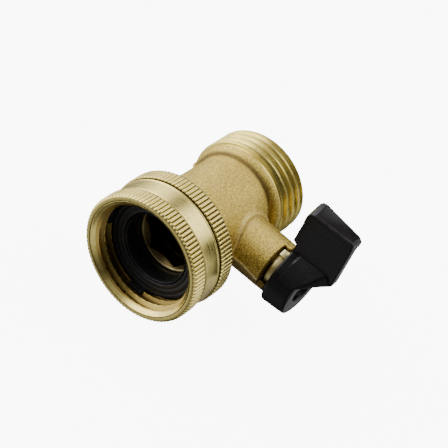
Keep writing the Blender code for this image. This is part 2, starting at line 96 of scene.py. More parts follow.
def lathe(name, angles, along, radius, axis="Y", capped=False, **rest):
    """A solid whose section changes with the angle. along and radius are (angles, stations) arrays.
    The section is a closed loop, or with capped=True a line whose two ends close on the axis."""
    along, radius = np.broadcast_arrays(np.atleast_2d(along), np.atleast_2d(radius))
    if along.shape[0] == 1:
        along = np.repeat(along, len(angles), 0)
        radius = np.repeat(radius, len(angles), 0)
    columns, stations = along.shape
    s, c = np.sin(angles)[:, None], np.cos(angles)[:, None]
    if axis == "Y":
        points = np.stack([radius * s, along + 0 * s, radius * c], -1)
    elif axis == "X":
        points = np.stack([along + 0 * s, STEM_Y + radius * c, radius * s], -1)
    else:
        points = np.stack([radius * c, STEM_Y + radius * s, along + 0 * s], -1)
    points = points.reshape(-1, 3)
    i = np.arange(columns)[:, None]
    j = np.arange(stations if not capped else stations - 1)[None, :]
    n, m = (i + 1) % columns, (j + 1) % stations
    quads = np.stack([i * stations + j, n * stations + j, n * stations + m, i * stations + m], -1).reshape(-1, 4)
    faces = quads.tolist()
    if capped:
        faces.append([int(k) * stations for k in range(columns)])
        faces.append([int(k) * stations + stations - 1 for k in range(columns)][::-1])
    return finish_mesh(name, points, faces, **rest)


def rounded_profile(points, radii, steps=4):
    """A section line with each corner rounded: points are (radius, along)."""
    out = []
    count = len(points)
    for k in range(count):
        p = np.array(points[k], float)
        r = radii[k] if k < len(radii) else 0
        if r <= 0:
            out.append(tuple(p))
            continue
        a, b = np.array(points[k - 1], float), np.array(points[(k + 1) % count], float)
        u, v = (a - p) / np.linalg.norm(a - p), (b - p) / np.linalg.norm(b - p)
        half = math.acos(max(-1, min(1, float(u @ v)))) / 2
        if abs(half - math.pi / 2) < 0.02:
            out.append(tuple(p))
            continue
        reach = r / math.tan(half)
        reach = min(reach, 0.48 * np.linalg.norm(a - p), 0.48 * np.linalg.norm(b - p))
        r = reach * math.tan(half)
        centre = p + (u + v) / np.linalg.norm(u + v) * (r / math.sin(half))
        s, e = p + u * reach - centre, p + v * reach - centre
        t0, t1 = math.atan2(s[1], s[0]), math.atan2(e[1], e[0])
        d = (t1 - t0 + math.pi) % TAU - math.pi
        for q in range(steps + 1):
            t = t0 + d * q / steps
            out.append((centre[0] + r * math.cos(t), centre[1] + r * math.sin(t)))
    return out


# ------------------------------------------------------------------ distance fields and their surface
def smooth_min(a, b, k):
    h = np.maximum(k - np.abs(a - b), 0.0) / k
    return np.minimum(a, b) - h * h * k * 0.25


def smooth_max(a, b, k):
    return -smooth_min(-a, -b, k)


def polygon(points, x, z):
    """Signed distance in the plane to a closed outline."""
    d = None
    inside = None
    count = len(points)
    for k in range(count):
        ax, az = points[k]
        bx, bz = points[k - 1]
        ex, ez = bx - ax, bz - az
        wx, wz = x - ax, z - az
        t = np.clip((wx * ex + wz * ez) / (ex * ex + ez * ez), 0, 1)
        gap = (wx - ex * t) ** 2 + (wz - ez * t) ** 2
        d = gap if d is None else np.minimum(d, gap)
        one, two = z >= az, z < bz
        three = ex * wz > ez * wx
        flip = (one & two & three) | (~one & ~two & ~three)
        inside = flip if inside is None else inside ^ flip
    return np.where(inside, -1.0, 1.0) * np.sqrt(d)


def inset(points, distance):
    """The outline moved inwards."""
    area = sum(points[k - 1][0] * points[k][1] - points[k][0] * points[k - 1][1] for k in range(len(points)))
    side = 1 if area > 0 else -1
    out = []
    for k in range(len(points)):
        a, p, b = (np.array(points[q % len(points)], float) for q in (k - 1, k, k + 1))
        u, v = (p - a) / np.linalg.norm(p - a), (b - p) / np.linalg.norm(b - p)
        nu, nv = side * np.array((-u[1], u[0])), side * np.array((-v[1], v[0]))
        mid = (nu + nv) / np.linalg.norm(nu + nv)
        out.append(tuple(p + mid * distance / max(0.3, float(mid @ nu))))
    return out


def slab(flat, height, r):
    """Rounds the edges of an extrusion: flat and height are its distances across and along."""
    a, b = flat + r, height + r
    return np.minimum(np.maximum(a, b), 0.0) + np.hypot(np.maximum(a, 0.0), np.maximum(b, 0.0)) - r


def hull_planes(points):
    points = np.array(points, float)
    found = []
    for i in range(len(points)):
        for j in range(i + 1, len(points)):
            for k in range(j + 1, len(points)):
                n = np.cross(points[j] - points[i], points[k] - points[i])
                size = np.linalg.norm(n)
                if size < 1e-6:
                    continue
                n /= size
                d = (points - points[i]) @ n
                if d.max() > 1e-6 and d.min() < -1e-6:
                    continue
                if d.max() > 1e-6:
                    n = -n
                plane = np.append(n, -(points[i] @ n))
                if not any(np.abs(plane - f).max() < 1e-4 for f in found):
                    found.append(plane)
    return found


def surface_of(name, field, low, high, cell, relax=2, **rest):
    """The closed quad surface where the field is zero, with every vertex moved on to it."""
    low = np.array(low, float)
    count = (np.ceil((np.array(high, float) - low) / cell)).astype(int) + 1
    ax = [low[k] + cell * np.arange(count[k]) for k in range(3)]
    value = np.empty(tuple(count), np.float32)
    for start in range(0, count[0], 16):
        value[start : start + 16] = field(ax[0][start : start + 16, None, None], ax[1][None, :, None], ax[2][None, None, :])
    inside = value < 0
    cells = tuple(count - 1)
    number = np.zeros(cells, np.int8)
    for i in (0, 1):
        for j in (0, 1):
            for k in (0, 1):
                number += inside[i : i + cells[0], j : j + cells[1], k : k + cells[2]]
    active = (number > 0) & (number < 8)
    where = np.argwhere(active)
    corners = [(i, j, k) for i in (0, 1) for j in (0, 1) for k in (0, 1)]
    held = np.stack([value[where[:, 0] + i, where[:, 1] + j, where[:, 2] + k] for i, j, k in corners], 1)
    total = np.zeros(len(where))
    place = np.zeros((len(where), 3))
    for a, one in enumerate(corners):
        for b, two in enumerate(corners):
            step = np.subtract(two, one)
            if b <= a or np.abs(step).sum() != 1:
                continue
            va, vb = held[:, a], held[:, b]
            cross = (va < 0) != (vb < 0)
            t = np.where(cross, va / np.where(cross, va - vb, 1), 0)
            total += cross
            place += cross[:, None] * (np.array(one) + t[:, None] * step)
    points = low + cell * (where + place / total[:, None])
    index = np.full(cells, -1, np.int32)
    index[active] = np.arange(len(where))
    quads = []
    for a in range(3):
        b, c = (a + 1) % 3, (a + 2) % 3
        s0, s1 = [slice(1, -1)] * 3, [slice(1, -1)] * 3
        s0[a], s1[a] = slice(0, -1), slice(1, None)
        i0, i1 = inside[tuple(s0)], inside[tuple(s1)]
        at = np.argwhere(i0 != i1)
        keep = i0[tuple(at.T)]
        at[:, b] += 1
        at[:, c] += 1

        def cell_at(db, dc):
            q = at.copy()
            q[:, b] += db
            q[:, c] += dc
            return index[tuple(q.T)]

        quad = np.stack([cell_at(-1, -1), cell_at(0, -1), cell_at(0, 0), cell_at(-1, 0)], 1)
        quad[~keep] = quad[~keep][:, ::-1]
        quads.append(quad)
    quads = np.concatenate(quads)

    def settle(points, times):
        for _ in range(times):
            h = 0.01
            f = field(points[:, 0], points[:, 1], points[:, 2])
            g = np.stack(
                [
                    (field(*(points + h * e).T) - field(*(points - h * e).T)) / (2 * h)
                    for e in np.eye(3)
                ],
                1,
            )
            move = -(f / np.maximum((g * g).sum(1), 0.05))[:, None] * g
            size = np.linalg.norm(move, axis=1, keepdims=True)
            points = points + move * np.minimum(1, 0.4 * cell / np.maximum(size, 1e-9))
        return points

    points = settle(points, 2)
    pairs = np.concatenate([quads[:, [0, 1]], quads[:, [1, 2]], quads[:, [2, 3]], quads[:, [3, 0]]])
    degree = np.bincount(pairs.ravel(), minlength=len(points)).astype(float)
    for _ in range(relax):
        mean = np.stack(
            [
                (
                    np.bincount(pairs[:, 0], points[pairs[:, 1], k], len(points))
                    + np.bincount(pairs[:, 1], points[pairs[:, 0], k], len(points))
                )
                / np.maximum(degree, 1)
                for k in range(3)
            ],
            1,
        )
        points = settle(points + 0.6 * (mean - points), 1)
    points = settle(points, 2)
    return finish_mesh(name, points, quads.tolist(), **rest)


# ------------------------------------------------------------------ materials
def new_material(name, colour, metallic, roughness, **sockets):
    mat = bpy.data.materials.new(name)
    mat.use_nodes = True
    tree = mat.node_tree
    shader = tree.nodes["Principled BSDF"]
    shader.inputs["Base Color"].default_value = (*colour, 1)
    shader.inputs["Metallic"].default_value = metallic
    shader.inputs["Roughness"].default_value = roughness
    for key, value in sockets.items():
        shader.inputs[key.replace("_", " ")].default_value = value
    return mat, tree, shader


class Graph:
    """A few short ways to add nodes to a material."""

    def __init__(self, tree):
        self.tree = tree
        self.coords = tree.nodes.new("ShaderNodeTexCoord").outputs["Object"]

    def node(self, kind, inputs=None, **settings):
        made = self.tree.nodes.new(kind)
        for key, value in settings.items():
            setattr(made, key, value)
        for key, value in (inputs or {}).items():
            socket = made.inputs[key]
            if isinstance(value, bpy.types.NodeSocket):
                self.tree.links.new(value, socket)
            else:
                socket.default_value = value
        return made

    def noise(self, scale, detail=2.0, roughness=0.5, coords=None, distortion=0.0):
        return self.node(
            "ShaderNodeTexNoise",
            {"Vector": coords or self.coords, "Scale": scale, "Detail": detail, "Roughness": roughness, "Distortion": distortion},
        ).outputs["Fac"]

    def stretched(self, scale):
        return self.node("ShaderNodeMapping", {"Vector": self.coords, "Scale": scale}).outputs["Vector"]

    def ramp(self, value, stops):
        made = self.node("ShaderNodeValToRGB", {"Fac": value})
        ramp = made.color_ramp
        while len(ramp.elements) < len(stops):
            ramp.elements.new(0.5)
        for element, (place, colour) in zip(ramp.elements, stops):
            element.position = place
            element.color = (*colour, 1) if len(colour) == 3 else colour
        return made.outputs["Color"]

    def range(self, value, a, b, c, d):
        return self.node("ShaderNodeMapRange", {"Value": value, "From Min": a, "From Max": b, "To Min": c, "To Max": d}).outputs["Result"]

    def math(self, operation, a, b=0.0, c=None):
        made = self.node("ShaderNodeMath", operation=operation)
        for socket, value in zip(made.inputs, (a, b, c)):
            if value is None:
                continue
            if isinstance(value, bpy.types.NodeSocket):
                self.tree.links.new(value, socket)
            else:
                socket.default_value = value
        return made.outputs[0]

    def mix(self, factor, a, b, blend="MIX"):
        made = self.node("ShaderNodeMix", data_type="RGBA", blend_type=blend)
        for key, value in ((0, factor), (6, a), (7, b)):
            if isinstance(value, bpy.types.NodeSocket):
                self.tree.links.new(value, made.inputs[key])
            else:
                made.inputs[key].default_value = value if key == 0 else (*value, 1)
        return made.outputs[2]

    def bump(self, height, strength, distance, normal=None):
        inputs = {"Height": height, "Strength": strength, "Distance": distance}
        if normal is not None:
            inputs["Normal"] = normal
        return self.node("ShaderNodeBump", inputs).outputs["Normal"]


def brass_cast():
    """Bead-blasted cast brass: fine pitted grain, cloudy tarnish, pinkish where the alloy's zinc has gone."""
    mat, tree, shader = new_material("brass_cast", (0.5, 0.38, 0.2), 1.0, 0.45)
    g = Graph(tree)
    cloud = g.noise(140.0, 3.0, 0.55)
    grain = g.noise(3000.0, 2.0, 0.65)
    fine = g.noise(7000.0, 2.0, 0.6)
    tone = g.ramp(cloud, [(0.3, (0.63, 0.46, 0.105)), (0.55, (0.73, 0.55, 0.13)), (0.78, (0.76, 0.55, 0.18))])
    speck = g.ramp(grain, [(0.36, (0.66, 0.62, 0.56)), (0.5, (0.96, 0.96, 0.95)), (0.62, (1.4, 1.42, 1.5))])
    colour = g.mix(1.0, tone, speck, "MULTIPLY")
    # Painted shade: a dark colour in the crease where the barrel meets the flange.
    parts = g.node("ShaderNodeSeparateXYZ", {0: g.coords})
    radius = g.math("SQRT", g.math("ADD", g.math("MULTIPLY", parts.outputs["X"], parts.outputs["X"]), g.math("MULTIPLY", parts.outputs["Z"], parts.outputs["Z"])))
    crease_shade = g.range(g.math("ABSOLUTE", g.math("SUBTRACT", parts.outputs["Y"], 0.0346)), 0.0001, 0.0005, 0.75, 0.0)
    crease_shade = g.math("MULTIPLY", crease_shade, g.math("LESS_THAN", radius, 0.0122))
    colour = g.mix(crease_shade, colour, (0.2, 0.14, 0.07))
    # Along the boss a painted highlight marks the mould's parting line, and painted shade darkens the underside below
    # it.
    slope = g.math("MULTIPLY", g.math("MAXIMUM", g.math("SUBTRACT", parts.outputs["X"], 0.0149), 0.0), 0.2)
    under = g.math("ADD", g.math("ADD", parts.outputs["Z"], 0.0004), slope)
    boss = g.math("MULTIPLY", g.math("GREATER_THAN", parts.outputs["X"], 0.0118), g.math("LESS_THAN", parts.outputs["Y"], 0.0262))
    underside_shade = g.math("MULTIPLY", boss, g.range(under, -0.0012, -0.0003, 0.7, 0.0))
    colour = g.mix(underside_shade, colour, (0.2, 0.13, 0.06))
    ridge_highlight = g.math("MULTIPLY", boss, g.range(g.math("ABSOLUTE", under), 0.00012, 0.00028, 1.0, 0.0))
    colour = g.mix(ridge_highlight, colour, (0.98, 0.86, 0.55))
    # Round the boss's foot, painted shade darkens the crease inside the pad's rim and a painted highlight brightens
    # the rim.
    across = g.math("ADD", parts.outputs["Y"], -0.02713)
    low = g.math("ADD", parts.outputs["Z"], 0.00027)
    ring = g.math("SQRT", g.math("ADD", g.math("MULTIPLY", across, across), g.math("MULTIPLY", low, low)))
    foot = g.math("MULTIPLY", g.math("LESS_THAN", radius, 0.0121), g.math("GREATER_THAN", parts.outputs["X"], 0.004))
    colour = g.mix(g.math("MULTIPLY", foot, g.range(g.math("ABSOLUTE", g.math("SUBTRACT", ring, 0.00678)), 0.00006, 0.00022, 0.45, 0.0)), colour, (0.3, 0.21, 0.08))
    colour = g.mix(g.math("MULTIPLY", foot, g.range(g.math("ABSOLUTE", g.math("SUBTRACT", ring, 0.00736)), 0.00005, 0.00018, 0.45, 0.0)), colour, (0.9, 0.72, 0.28))
    tree.links.new(colour, shader.inputs["Base Color"])
    rough = g.math("ADD", g.range(grain, 0.3, 0.7, 0.36, 0.52), g.range(cloud, 0.3, 0.7, -0.03, 0.05))
    tree.links.new(rough, shader.inputs["Roughness"])
    first = g.bump(grain, 1.0, 0.00019)
    tree.links.new(g.bump(fine, 0.4, 0.00005, first), shader.inputs["Normal"])
    return mat


def brass_machined(name, light, dark, rough, line_scale, line_axis="Y", tarnish=0.25, strength=0.12, inside=False, groove_shade=None, crest=None):
    """Turned brass: fine tool lines round the axis, a little tarnish, small knocks."""
    mat, tree, shader = new_material(name, light, 1.0, rough)
    g = Graph(tree)
    scale = [120.0, 120.0, 120.0]
    scale["XYZ".index(line_axis)] = line_scale
    lines = g.noise(1.0, 2.0, 0.5, g.stretched(scale))
    cloud = g.noise(190.0, 4.0, 0.6)
    spots = g.noise(900.0, 2.0, 0.5)
    mark = g.range(cloud, 0.42, 0.72, 0.0, tarnish)
    colour = g.mix(mark, light, dark)
    speck = g.ramp(spots, [(0.3, (0.82, 0.8, 0.76)), (0.45, (1, 1, 1)), (1.0, (1.05, 1.05, 1.04))])
    colour = g.mix(1.0, colour, speck, "MULTIPLY")
    spread = g.math("ADD", g.range(lines, 0.3, 0.7, rough - 0.05, rough + 0.06), g.range(cloud, 0.4, 0.7, 0.0, 0.08))
    if groove_shade:
        # Painted shade darkens the bottom of the grooves and makes it rougher: low radius between two lengths along
        # the axis.
        parts = g.node("ShaderNodeSeparateXYZ", {0: g.coords})
        radius = g.math("SQRT", g.math("ADD", g.math("MULTIPLY", parts.outputs["X"], parts.outputs["X"]), g.math("MULTIPLY", parts.outputs["Z"], parts.outputs["Z"])))
        for start, stop, floor_r, top_r in groove_shade:
            low = g.range(radius, floor_r * MM, top_r * MM, 1.0, 0.0)
            here = g.math("MULTIPLY", g.math("GREATER_THAN", parts.outputs["Y"], start * MM), g.math("LESS_THAN", parts.outputs["Y"], stop * MM))
            outer = g.math("GREATER_THAN", radius, 0.0147)
            groove_shade_mask = g.math("MULTIPLY", g.math("MULTIPLY", low, here), outer)
            colour = g.mix(groove_shade_mask, colour, (0.075, 0.055, 0.028))
            spread = g.math("ADD", spread, g.math("MULTIPLY", groove_shade_mask, 0.15))
        # Painted shade also darkens the fine turned line round the front face.
        near = g.math("LESS_THAN", g.math("ABSOLUTE", g.math("SUBTRACT", radius, 0.01414)), 0.00009)
        line = g.math("MULTIPLY", near, g.math("LESS_THAN", parts.outputs["Y"], 0.0003))
        colour = g.mix(line, colour, (0.09, 0.06, 0.03))
        # The thread inside is painted darker than the turned outside, and darker still deeper in: painted shade in the
        # bore.
        within = g.math("MULTIPLY", g.math("LESS_THAN", radius, 0.01392), g.math("GREATER_THAN", parts.outputs["Y"], 0.0008))
        colour = g.mix(within, colour, (0.56, 0.4, 0.11))
        depth_shade = g.math("MULTIPLY", within, g.range(parts.outputs["Y"], 0.0028, 0.0052, 0.0, 0.85))
        colour = g.mix(depth_shade, colour, (0.12, 0.075, 0.02))
    if crest:
        # The tops of the thread are painted bright and made a little rougher, partly wear and partly a painted
        # highlight; the valleys keep a deeper gold.
        parts = g.node("ShaderNodeSeparateXYZ", {0: g.coords})
        radius = g.math("SQRT", g.math("ADD", g.math("MULTIPLY", parts.outputs["X"], parts.outputs["X"]), g.math("MULTIPLY", parts.outputs["Z"], parts.outputs["Z"])))
        crest_highlight_and_wear = g.range(radius, (crest - 0.12) * MM, (crest - 0.03) * MM, 0.0, 1.0)
        colour = g.mix(g.math("MULTIPLY", crest_highlight_and_wear, 0.8), colour, (0.98, 0.86, 0.5))
        spread = g.math("ADD", spread, g.math("MULTIPLY", crest_highlight_and_wear, 0.14))
    if inside:
        # Painted shade: the socket's walls and the bore behind them are painted dark and made duller.
        parts = g.node("ShaderNodeSeparateXYZ", {0: g.coords})
        socket_shade = g.range(g.math("ADD", parts.outputs["Y"], g.range(cloud, 0.3, 0.7, -0.0004, 0.0004)), 0.0113, 0.0127, 0.0, 1.0)
        colour = g.mix(socket_shade, colour, (0.045, 0.03, 0.012))
        spread = g.math("ADD", spread, g.math("MULTIPLY", socket_shade, 0.2))
        # Only the outermost edge of the lead-in is painted lighter, as painted light at the mouth.
        radius = g.math("SQRT", g.math("ADD", g.math("MULTIPLY", parts.outputs["X"], parts.outputs["X"]), g.math("MULTIPLY", parts.outputs["Z"], parts.outputs["Z"])))
        colour = g.mix(g.range(radius, 0.0076, 0.00785, 0.0, 0.7), colour, (0.6, 0.5, 0.24))
    tree.links.new(colour, shader.inputs["Base Color"])
    tree.links.new(spread, shader.inputs["Roughness"])
    first = g.bump(lines, strength, 0.00003)
    tree.links.new(g.bump(spots, 0.05, 0.00004, first), shader.inputs["Normal"])
    return mat


def plastic(name, base, rough):
    """Glass-filled moulded plastic: fine spark-eroded texture, faint cloud, a painted highlight along the grip's front
    edge.
    """
    mat, tree, shader = new_material(name, base, 0.0, rough, Specular_IOR_Level=0.33)
    g = Graph(tree)
    grain = g.noise(3600.0, 2.0, 0.6)
    cloud = g.noise(160.0, 3.0, 0.6)
    tone = g.ramp(cloud, [(0.3, tuple(v * 0.8 for v in base)), (0.7, tuple(v * 1.35 for v in base))])
    speck = g.ramp(grain, [(0.62, (1, 1, 1)), (0.72, (1.9, 1.8, 1.85))])
    colour = g.mix(1.0, tone, speck, "MULTIPLY")
    # A painted highlight: the long front edge of the grip is painted lighter grey.
    parts = g.node("ShaderNodeSeparateXYZ", {0: g.coords})
    edge = g.math("ADD", g.math("MULTIPLY", parts.outputs["X"], 0.058), 0.0191)
    edge_highlight = g.range(g.math("ABSOLUTE", g.math("SUBTRACT", parts.outputs["Z"], edge)), 0.00012, 0.0003, 1.0, 0.0)
    edge_highlight = g.math("MULTIPLY", edge_highlight, g.math("LESS_THAN", parts.outputs["Y"], 0.0256))
    edge_highlight = g.math("MULTIPLY", edge_highlight, g.range(g.noise(500.0, 3.0, 0.6), 0.35, 0.6, 0.35, 1.0))
    tree.links.new(g.mix(edge_highlight, colour, (0.032, 0.029, 0.03)), shader.inputs["Base Color"])
    tree.links.new(g.math("ADD", g.range(grain, 0.3, 0.7, rough - 0.06, rough + 0.08), g.range(cloud, 0.4, 0.7, -0.03, 0.05)), shader.inputs["Roughness"])
    tree.links.new(g.bump(grain, 0.14, 0.00005, g.bump(cloud, 0.05, 0.0004)), shader.inputs["Normal"])
    return mat


def rubber(name, base, rough):
    """Moulded rubber: dull, slightly dusty, with a fine grain."""
    mat, tree, shader = new_material(name, base, 0.0, rough, Specular_IOR_Level=0.45)
    g = Graph(tree)
    grain = g.noise(3000.0, 3.0, 0.6)
    cloud = g.noise(260.0, 3.0, 0.6)
    tone = g.ramp(cloud, [(0.3, tuple(v * 0.85 for v in base)), (0.75, tuple(v * 1.5 for v in base))])
    tree.links.new(tone, shader.inputs["Base Color"])
    tree.links.new(g.range(grain, 0.3, 0.7, rough - 0.06, rough + 0.1), shader.inputs["Roughness"])
    tree.links.new(g.bump(grain, 0.25, 0.00006), shader.inputs["Normal"])
    return mat


def ptfe_white():
    mat, tree, shader = new_material("ptfe_white", (0.8, 0.8, 0.78), 0.0, 0.4, Subsurface_Weight=0.15, Subsurface_Scale=0.001)
    g = Graph(tree)
    cloud = g.noise(220.0, 3.0, 0.5)
    tree.links.new(g.ramp(cloud, [(0.3, (0.74, 0.74, 0.71)), (0.7, (0.86, 0.86, 0.84))]), shader.inputs["Base Color"])
    tree.links.new(g.bump(g.noise(2500.0), 0.08, 0.00003), shader.inputs["Normal"])
    return mat


def metal_plate(name, base, rough, strength=0.06):
    mat, tree, shader = new_material(name, base, 1.0, rough)
    g = Graph(tree)
    cloud = g.noise(400.0, 3.0, 0.6)
    tree.links.new(g.ramp(cloud, [(0.3, tuple(v * 0.86 for v in base)), (0.7, tuple(min(1, v * 1.06) for v in base))]), shader.inputs["Base Color"])
    tree.links.new(g.range(cloud, 0.3, 0.7, rough, rough + 0.08), shader.inputs["Roughness"])
    tree.links.new(g.bump(g.noise(2600.0, 2.0), strength, 0.00004), shader.inputs["Normal"])
    return mat


CAST = brass_cast()
# The outlet thread's crests get a painted highlight, partly wear.
TURNED = brass_machined("brass_turned", (0.97, 0.78, 0.2), (0.7, 0.53, 0.12), 0.27, 4200.0, tarnish=0.18, strength=0.06, crest=13.5)
# A painted-shade copy of the turned brass: the socket's brass is painted dark all over, with more painted shade deeper
# in.
SOCKET_PAINTED_SHADE = brass_machined("brass_socket_painted_shade", (0.085, 0.063, 0.025), (0.055, 0.04, 0.015), 0.3, 4200.0, inside=True)
# The nut's knurl grooves and the groove before the rear knurl get painted shade.
NUT = brass_machined("brass_nut", (0.96, 0.785, 0.25), (0.64, 0.49, 0.14), 0.25, 3600.0, tarnish=0.2, groove_shade=[(0.6, 4.2, 15.2, 15.42), (9.5, 13.9, 15.45, 15.67), (9.2, 9.5, 14.6, 15.2)])
COLLAR = brass_machined("brass_collar", (0.8, 0.7, 0.34), (0.5, 0.4, 0.18), 0.3, 3600.0, "X")
STEM = brass_machined("brass_stem", (0.76, 0.56, 0.16), (0.46, 0.32, 0.08), 0.3, 3600.0, "X")
PLASTIC = plastic("handle_black", (0.0068, 0.0052, 0.0057), 0.24)
WASHER = rubber("washer_black", (0.0075, 0.0077, 0.0082), 0.42)
O_RING = rubber("o_ring_black", (0.012, 0.012, 0.012), 0.42)
PTFE = ptfe_white()
CHROME = metal_plate("ball_plated", (0.72, 0.73, 0.75), 0.07, 0.01)
STEEL = metal_plate("screw_plated", (0.52, 0.52, 0.52), 0.28)


# ------------------------------------------------------------------ threads
def thread_radius(angle, y, first, crest, root, flat=0.14):
    """Radius of a right-handed thread about +Y. first is where a crest crosses angle 0."""
    phase = (y - first) / PITCH - angle / TAU
    off = np.abs(phase - np.round(phase)) * PITCH
    ramp = crest + (root - crest) * np.clip((off - flat) / (0.5 * PITCH - 2 * flat), 0, 1)
    return ramp


# ------------------------------------------------------------------ swivel nut
RIBS = 96
rib_steps = np.array([-0.27, -0.18, -0.09, 0.0, 0.09, 0.18, 0.27, 0.34, 0.45, 0.55, 0.66]) / RIBS
angles = (TAU * (np.arange(RIBS)[:, None] / RIBS + rib_steps[None, :])).ravel()
depth = np.tile([0.075, 0.033, 0.008, 0.0, 0.008, 0.033, 0.075, 0.2, 0.42, 0.42, 0.2], RIBS)

stations = []  # (along, radius, how much of the rib's depth it has)
stations += [(0.0, 14.0, 0), (0.03, 14.06, 0), (0.2, 14.11, 0), (0.2, 14.17, 0), (0.03, 14.22, 0), (0.0, 14.28, 0), (0.0, 14.9, 0), (0.03, 15.02, 0.0), (0.16, 15.26, 0.25), (0.34, 15.48, 0.7), (0.55, 15.6, 1.0)]
stations += [(y, 15.6, 1.0) for y in np.linspace(0.8, 3.7, 12)]
stations += [(3.86, 15.58, 1.0), (3.98, 15.5, 0.9), (4.12, 15.38, 0.35), (4.2, 15.3, 0.0), (4.3, 15.28, 0.0), (4.42, 15.35, 0)]
stations += [(y, 15.35, 0) for y in np.linspace(4.7, 8.4, 10)]
stations += [(8.6, 15.35, 0), (8.74, 15.37, 0), (8.82, 15.46, 0), (8.95, 15.51, 0), (9.08, 15.49, 0), (9.17, 15.4, 0), (9.2, 15.2, 0), (9.22, 14.9, 0), (9.26, 14.85, 0), (9.48, 14.85, 0), (9.52, 14.9, 0)]
stations += [(9.53, 15.4, 0.3), (9.57, 15.66, 0.7), (9.66, 15.8, 0.95), (9.8, 15.85, 1.0)]
stations += [(y, 15.85, 1.0) for y in np.linspace(10.3, 13.2, 12)]
stations += [(13.4, 15.84, 1.0), (13.6, 15.76, 0.85), (13.85, 15.5, 0.3), (14.0, 15.3, 0.0), (14.15, 14.9, 0), (14.2, 14.7, 0)]
stations += [(14.2, r, 0) for r in (13.5, 12.0, 10.6)]
stations += [(14.2, 10.0, 0), (14.12, 9.88, 0), (14.0, 9.85, 0), (12.8, 9.85, 0), (12.7, 9.95, 0), (12.7, 11.0, 0), (12.7, 12.5, 0), (12.6, 12.6, 0)]
stations += [(11.5, 12.6, 0), (9.6, 12.6, 0), (8.9, 12.62, 0), (8.4, 13.8, 0), (8.3, 13.85, 0), (7.3, 13.85, 0)]
inner_y = np.arange(7.0, 0.02, -0.055)
along = np.array([s[0] for s in stations])[None, :] + 0 * angles[:, None]
radius = np.array([s[1] for s in stations])[None, :] - np.array([s[2] for s in stations])[None, :] * depth[:, None]
thread = thread_radius(angles[:, None], inner_y[None, :], -0.383, 12.42, 13.78)
run_out = np.clip((inner_y - 6.3) / 0.6, 0, 1)
thread = np.where(inner_y[None, :] > 6.3, np.maximum(thread, 12.42 + (13.85 - 12.42) * run_out[None, :]), thread)
thread = np.maximum(thread, 13.98 - 1.0 * inner_y[None, :])
nut = lathe(
    "nut_shell",
    angles,
    np.concatenate([along, inner_y[None, :] + 0 * angles[:, None]], 1),
    np.concatenate([radius, thread], 1),
    material=NUT,
    body="nut",
    nodes=("swivel_nut",),
    slot="brass_knurled",
    sharp=38,
)

# ------------------------------------------------------------------ hose washer
angles = around(720)
off = np.degrees(np.abs((angles + math.pi / 4) % (math.pi / 2) - math.pi / 4))
tab = np.clip((10.3 - off) / 1.3, 0, 1)
tab = tab * tab * (3 - 2 * tab)
face = []  # (radius, along)
for r in np.arange(8.22, 12.1, 0.06):
    groove = 0.0
    for centre, width, height in ((8.72, 0.17, 0.42), (9.9, 0.3, 0.13), (11.2, 0.3, 0.13)):
        groove += height * math.exp(-(((r - centre) / width) ** 2))
    lead = 0.62 * max(0.0, 1 - (r - 8.22) / 0.3) ** 2 + (0.28 if r < 8.72 else 0.28 * max(0.0, 1 - (r - 8.72) / 0.25))
    bead = -0.04 * math.exp(-(((r - 8.32) / 0.1) ** 2))
    face.append((r, 5.5 + groove + lead + bead))
side = [(12.12, 5.53), (12.15, 5.6)]
base = np.array(face + side, float)
tab_ys = [(5.64, 0.02), (5.64, 0.08), (4.3, 0.12), (4.24, 0.2), (4.2, 0.8), (4.25, 0.93), (4.4, 0.98), (5.8, 1.0), (6.6, 1.0), (7.6, 1.0), (7.85, 0.97), (7.95, 0.9), (8.02, 0.0)]
rest_line = np.array([(12.05, 8.2), (12.05, 9.5), (12.05, 10.5), (11.95, 10.6), (10.0, 10.6), (8.3, 10.6), (8.22, 10.5), (8.2, 9.0), (8.2, 7.2)], float)
reach = 13.45
r_tab = np.stack([12.15 + (reach - 12.15) * tab * share for _, share in tab_ys], 1)
r_all = np.concatenate([np.repeat(base[None, :, 0], len(angles), 0), r_tab, np.repeat(rest_line[None, :, 0], len(angles), 0)], 1)
a_all = np.concatenate(
    [
        np.repeat(base[None, :, 1], len(angles), 0),
        5.66 + (np.array([y for y, _ in tab_ys])[None, :] - 5.66) * np.where(np.array([y for y, _ in tab_ys])[None, :] < 5.66, tab[:, None], 1.0),
        np.repeat(rest_line[None, :, 1], len(angles), 0),
    ],
    1,
)
washer = lathe("washer_ring", angles, a_all, r_all, material=WASHER, body="nut", nodes=("hose_washer",), slot="washer_rubber", sharp=50)

# ------------------------------------------------------------------ inlet tailpiece with its hexagonal socket
angles = around(720)
# Corners lie on the X axis: angle 90 degrees from Z, and every 60 degrees from there.
sixth = (angles - math.radians(90) + math.pi / 6) % (math.pi / 3) - math.pi / 6
to_flat = np.pi / 6 - np.abs(sixth)
hexagon = np.minimum(6.5 / np.cos(to_flat), 7.36)
cone = 0.9
lip_y = 11.0 + (7.9 - hexagon) * cone
profile = [
    (12.0, 11.02), (11.9, 11.0), (10.0, 11.0), (8.05, 11.0), (7.95, 11.02),
]
tail_a = [np.full(len(angles), a) for _, a in profile]
tail_r = [np.full(len(angles), r) for r, _ in profile]
for share in (0.05, 0.35, 0.65, 0.95):
    tail_r.append(7.9 + (hexagon - 7.9) * share)
    tail_a.append(11.0 + (7.9 - tail_r[-1]) * cone)
for a in (0.06, 0.5):
    tail_r.append(hexagon - 0.0)
    tail_a.append(lip_y + a)
for a in (13.4, 14.3, 15.05):
    tail_r.append(hexagon)
    tail_a.append(np.full(len(angles), a))
tail_r.append(np.minimum(hexagon, 6.42))
tail_a.append(np.full(len(angles), 15.2))
